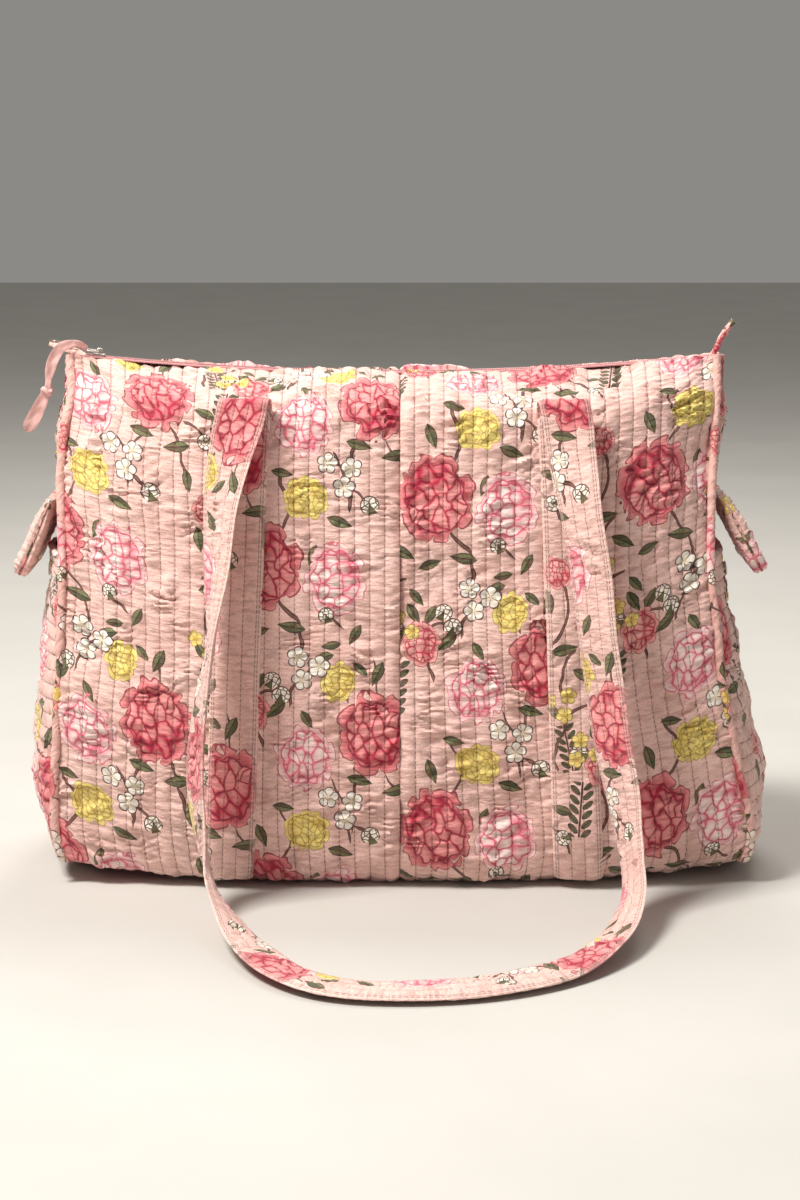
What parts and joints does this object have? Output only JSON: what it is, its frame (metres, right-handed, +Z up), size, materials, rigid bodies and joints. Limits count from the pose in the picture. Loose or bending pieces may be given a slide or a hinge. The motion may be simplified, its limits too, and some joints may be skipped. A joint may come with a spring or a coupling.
{
  "type": "knitting bag",
  "caption": "Soft quilted zip-top knitting bag with a boxed base, piped side seams, flapped side pockets and two long shoulder straps lying loose.",
  "frame": {"origin": "centre of the flat base, on the surface the bag stands on", "axes": "+X to the wearer's right as seen from the front, -Y is the front, +Z is up"},
  "size_m": [0.5163, 0.7132, 0.3685],
  "materials": {
    "quilted_print": "channel-quilted floral cotton, matte",
    "piping": "bias-cut floral cotton over cord, matte",
    "lining": "plain woven cotton, matte",
    "zip_tape": "woven polyester tape",
    "zip_coil": "satin nylon coil",
    "ribbon": "plain cotton ribbon, soft sheen",
    "snap_plastic": "clear white moulded plastic",
    "zip_metal": "satin nickel"
  },
  "bodies": {
    "shell": {"front_panel_left": "quilted_print", "front_lining_left": "lining", "piping_front_left": "piping", "front_strap_leg_left": "quilted_print", "front_panel_right": "quilted_print", "front_lining_right": "lining", "piping_front_right": "piping", "front_strap_leg_right": "quilted_print", "back_panel_left": "quilted_print", "back_lining_left": "lining", "piping_back_left": "piping", "back_strap_leg_left": "quilted_print", "back_panel_right": "quilted_print", "back_lining_right": "lining", "piping_back_right": "piping", "back_strap_leg_right": "quilted_print", "gusset_left": "quilted_print", "gusset_lining_left": "lining", "pocket_left": "quilted_print", "snap_socket_left": "snap_plastic", "zip_tape_end_left": "zip_tape", "zip_stop_left": "zip_coil", "zip_tab_left": "quilted_print", "gusset_right": "quilted_print", "gusset_lining_right": "lining", "pocket_right": "quilted_print", "snap_socket_right": "snap_plastic", "zip_tape_end_right": "zip_tape", "zip_stop_right": "zip_coil", "zip_tab_right": "quilted_print", "bottom_panel": "quilted_print", "bottom_lining": "lining"},
    "mouth_front": {"front_mouth_left": "quilted_print", "front_mouth_right": "quilted_print", "front_mouth_lining": "lining", "front_zip_tape": "zip_tape", "front_zip_coil": "zip_coil"},
    "mouth_back": {"back_mouth_left": "quilted_print", "back_mouth_right": "quilted_print", "back_mouth_lining": "lining", "back_zip_tape": "zip_tape", "back_zip_coil": "zip_coil"},
    "slider": {"slider_body": "zip_metal"},
    "pull": {"pull_ring": "zip_metal", "pull_ribbon": "ribbon"},
    "flap_left": {"flap_left": "quilted_print", "snap_stud_left": "snap_plastic"},
    "flap_right": {"flap_right": "quilted_print", "snap_stud_right": "snap_plastic"},
    "strap_front": {"front_strap_left": "quilted_print", "front_strap_right": "quilted_print"},
    "strap_front_bow": {"front_strap_bow": "quilted_print"},
    "strap_back": {"back_strap_left": "quilted_print", "back_strap_right": "quilted_print"},
    "strap_back_bow": {"back_strap_bow": "quilted_print"}
  },
  "joints": [
    {"name": "zip_travel", "type": "hinge", "parent": "shell", "child": "slider", "pos_m": [0, 0, 2.4415], "axis": [0, -1, 0], "range_deg": [0, 11.31], "deforming": ["pull_ribbon"]},
    {"name": "pull_swing", "type": "hinge", "parent": "slider", "child": "pull", "pos_m": [-0.20663, 0, 0.35546], "axis": [0, 1, 0], "range_deg": [0, 150]},
    {"name": "mouth_front_fold", "type": "hinge", "parent": "shell", "child": "mouth_front", "pos_m": [0, -0.076, 0.324], "axis": [1, 0, 0], "range_deg": [0, 60]},
    {"name": "mouth_back_fold", "type": "hinge", "parent": "shell", "child": "mouth_back", "pos_m": [0, 0.076, 0.324], "axis": [-1, 0, 0], "range_deg": [0, 60]},
    {"name": "flap_left_fold", "type": "hinge", "parent": "shell", "child": "flap_left", "pos_m": [-0.2318, 0, 0.256], "axis": [0, 1, 0], "range_deg": [-2, 100]},
    {"name": "flap_right_fold", "type": "hinge", "parent": "shell", "child": "flap_right", "pos_m": [0.2148, 0, 0.256], "axis": [0, -1, 0], "range_deg": [-2, 100]},
    {"name": "strap_front_lift", "type": "hinge", "parent": "shell", "child": "strap_front", "pos_m": [0, -0.086, 0.327], "axis": [-1, 0, 0], "range_deg": [0, 165]},
    {"name": "strap_front_straighten", "type": "hinge", "parent": "strap_front", "child": "strap_front_bow", "pos_m": [0, -0.147, 0.055], "axis": [1, 0, 0], "range_deg": [0, 66]},
    {"name": "strap_back_lift", "type": "hinge", "parent": "shell", "child": "strap_back", "pos_m": [0, 0.086, 0.327], "axis": [1, 0, 0], "range_deg": [0, 165]},
    {"name": "strap_back_straighten", "type": "hinge", "parent": "strap_back", "child": "strap_back_bow", "pos_m": [0, 0.147, 0.055], "axis": [-1, 0, 0], "range_deg": [0, 66]}
  ],
  "couplings": [
    {"joint": "strap_front_straighten", "follows": "strap_front_lift", "ratio": 0.4},
    {"joint": "strap_back_straighten", "follows": "strap_back_lift", "ratio": 0.4}
  ]
}
